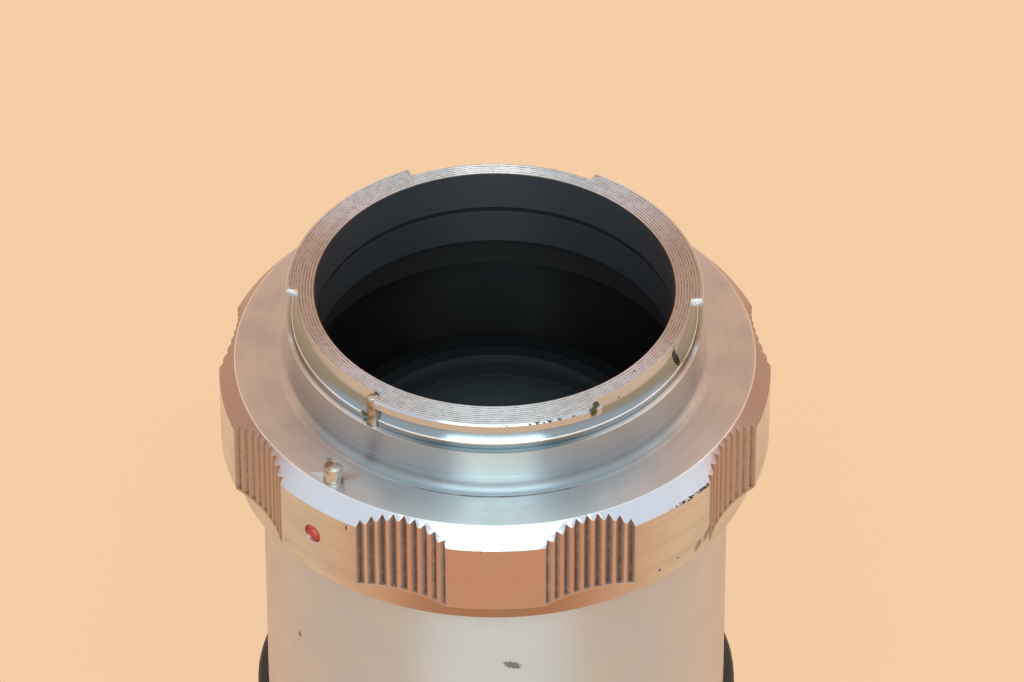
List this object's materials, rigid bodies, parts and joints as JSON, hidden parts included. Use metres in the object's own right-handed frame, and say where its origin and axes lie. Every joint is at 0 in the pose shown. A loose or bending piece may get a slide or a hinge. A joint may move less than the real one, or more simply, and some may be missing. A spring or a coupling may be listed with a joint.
{
  "type": "camera lens",
  "caption": "Long preset camera lens standing on its front rim: bayonet camera mount, scalloped grip ring, satin barrel, focusing and aperture rings and an iris.",
  "frame": {"origin": "on the optical axis in the plane of the front rim, on which the lens stands", "axes": "+Z along the optical axis from the front rim to the camera mount, -Y towards the pictured front"},
  "size_m": [0.055, 0.055, 0.118],
  "materials": {
    "chromed_mount": "satin",
    "satin_barrel": "satin",
    "dark_ring": "satin",
    "black_inside": "matte",
    "steel_pin": "satin",
    "key_brass": "satin",
    "red_paint": "gloss",
    "blade_steel": "matte",
    "optical_glass": "polished"
  },
  "bodies": {
    "optics_barrel": {"front_barrel": "satin_barrel", "filter_ring": "dark_ring", "front_cell": "black_inside", "front_element": "optical_glass", "element_spacer": "black_inside", "second_element": "optical_glass", "front_retaining_ring": "black_inside", "middle_cell": "black_inside", "third_element": "optical_glass", "middle_retaining_ring": "black_inside", "rear_lens_tube": "black_inside", "rear_element": "optical_glass", "rear_retaining_ring": "black_inside", "iris_seat": "key_brass"},
    "mount_barrel": {"bayonet_mount": "chromed_mount", "mount_flange": "chromed_mount", "rear_barrel": "satin_barrel", "index_ring": "dark_ring", "guide_key": "key_brass", "guide_key_screw": "steel_pin", "focus_stop_pin": "steel_pin", "stop_pin": "steel_pin", "neck_set_screw": "steel_pin", "locating_pin": "steel_pin", "index_dot": "red_paint"},
    "focus_ring": {"focus_ring": "dark_ring", "distance_scale_ring": "dark_ring"},
    "aperture_ring": {"aperture_ring": "dark_ring", "iris_drive_pin": "steel_pin", "iris_drive_ring": "key_brass"},
    "preset_ring": {"preset_ring": "dark_ring"},
    "iris_blade_1": {"iris_blade_1": "blade_steel"},
    "iris_blade_2": {"iris_blade_2": "blade_steel"},
    "iris_blade_3": {"iris_blade_3": "blade_steel"},
    "iris_blade_4": {"iris_blade_4": "blade_steel"},
    "iris_blade_5": {"iris_blade_5": "blade_steel"},
    "iris_blade_6": {"iris_blade_6": "blade_steel"},
    "iris_blade_7": {"iris_blade_7": "blade_steel"},
    "iris_blade_8": {"iris_blade_8": "blade_steel"}
  },
  "joints": [
    {"name": "focus_slide", "type": "slide", "parent": "optics_barrel", "child": "mount_barrel", "axis": [0, 0, 1], "range_m": [0, 0.01]},
    {"name": "focus_turn", "type": "hinge", "parent": "mount_barrel", "child": "focus_ring", "pos_m": [0, 0, 0.05], "axis": [0, 0, 1], "range_deg": [0, 270]},
    {"name": "aperture_turn", "type": "hinge", "parent": "optics_barrel", "child": "aperture_ring", "pos_m": [0, 0, 0.024], "axis": [0, 0, 1], "range_deg": [0, 42]},
    {"name": "preset_turn", "type": "hinge", "parent": "optics_barrel", "child": "preset_ring", "pos_m": [0, 0, 0.0155], "axis": [0, 0, 1], "range_deg": [0, 42]},
    {"name": "blade_1_swing", "type": "hinge", "parent": "optics_barrel", "child": "iris_blade_1", "pos_m": [0.0194, 0, 0.0215], "axis": [0, 0, 1], "range_deg": [0, 27]},
    {"name": "blade_2_swing", "type": "hinge", "parent": "optics_barrel", "child": "iris_blade_2", "pos_m": [0.01372, 0.01372, 0.0215], "axis": [0, 0, 1], "range_deg": [0, 27]},
    {"name": "blade_3_swing", "type": "hinge", "parent": "optics_barrel", "child": "iris_blade_3", "pos_m": [0, 0.0194, 0.0215], "axis": [0, 0, 1], "range_deg": [0, 27]},
    {"name": "blade_4_swing", "type": "hinge", "parent": "optics_barrel", "child": "iris_blade_4", "pos_m": [-0.01372, 0.01372, 0.0215], "axis": [0, 0, 1], "range_deg": [0, 27]},
    {"name": "blade_5_swing", "type": "hinge", "parent": "optics_barrel", "child": "iris_blade_5", "pos_m": [-0.0194, 0, 0.0215], "axis": [0, 0, 1], "range_deg": [0, 27]},
    {"name": "blade_6_swing", "type": "hinge", "parent": "optics_barrel", "child": "iris_blade_6", "pos_m": [-0.01372, -0.01372, 0.0215], "axis": [0, 0, 1], "range_deg": [0, 27]},
    {"name": "blade_7_swing", "type": "hinge", "parent": "optics_barrel", "child": "iris_blade_7", "pos_m": [0, -0.0194, 0.0215], "axis": [0, 0, 1], "range_deg": [0, 27]},
    {"name": "blade_8_swing", "type": "hinge", "parent": "optics_barrel", "child": "iris_blade_8", "pos_m": [0.01372, -0.01372, 0.0215], "axis": [0, 0, 1], "range_deg": [0, 27]}
  ],
  "couplings": [
    {"joint": "focus_turn", "follows": "focus_slide", "rad_per_m": 471.24},
    {"joint": "blade_1_swing", "follows": "aperture_turn", "ratio": 0.64286},
    {"joint": "blade_2_swing", "follows": "aperture_turn", "ratio": 0.64286},
    {"joint": "blade_3_swing", "follows": "aperture_turn", "ratio": 0.64286},
    {"joint": "blade_4_swing", "follows": "aperture_turn", "ratio": 0.64286},
    {"joint": "blade_5_swing", "follows": "aperture_turn", "ratio": 0.64286},
    {"joint": "blade_6_swing", "follows": "aperture_turn", "ratio": 0.64286},
    {"joint": "blade_7_swing", "follows": "aperture_turn", "ratio": 0.64286},
    {"joint": "blade_8_swing", "follows": "aperture_turn", "ratio": 0.64286}
  ]
}
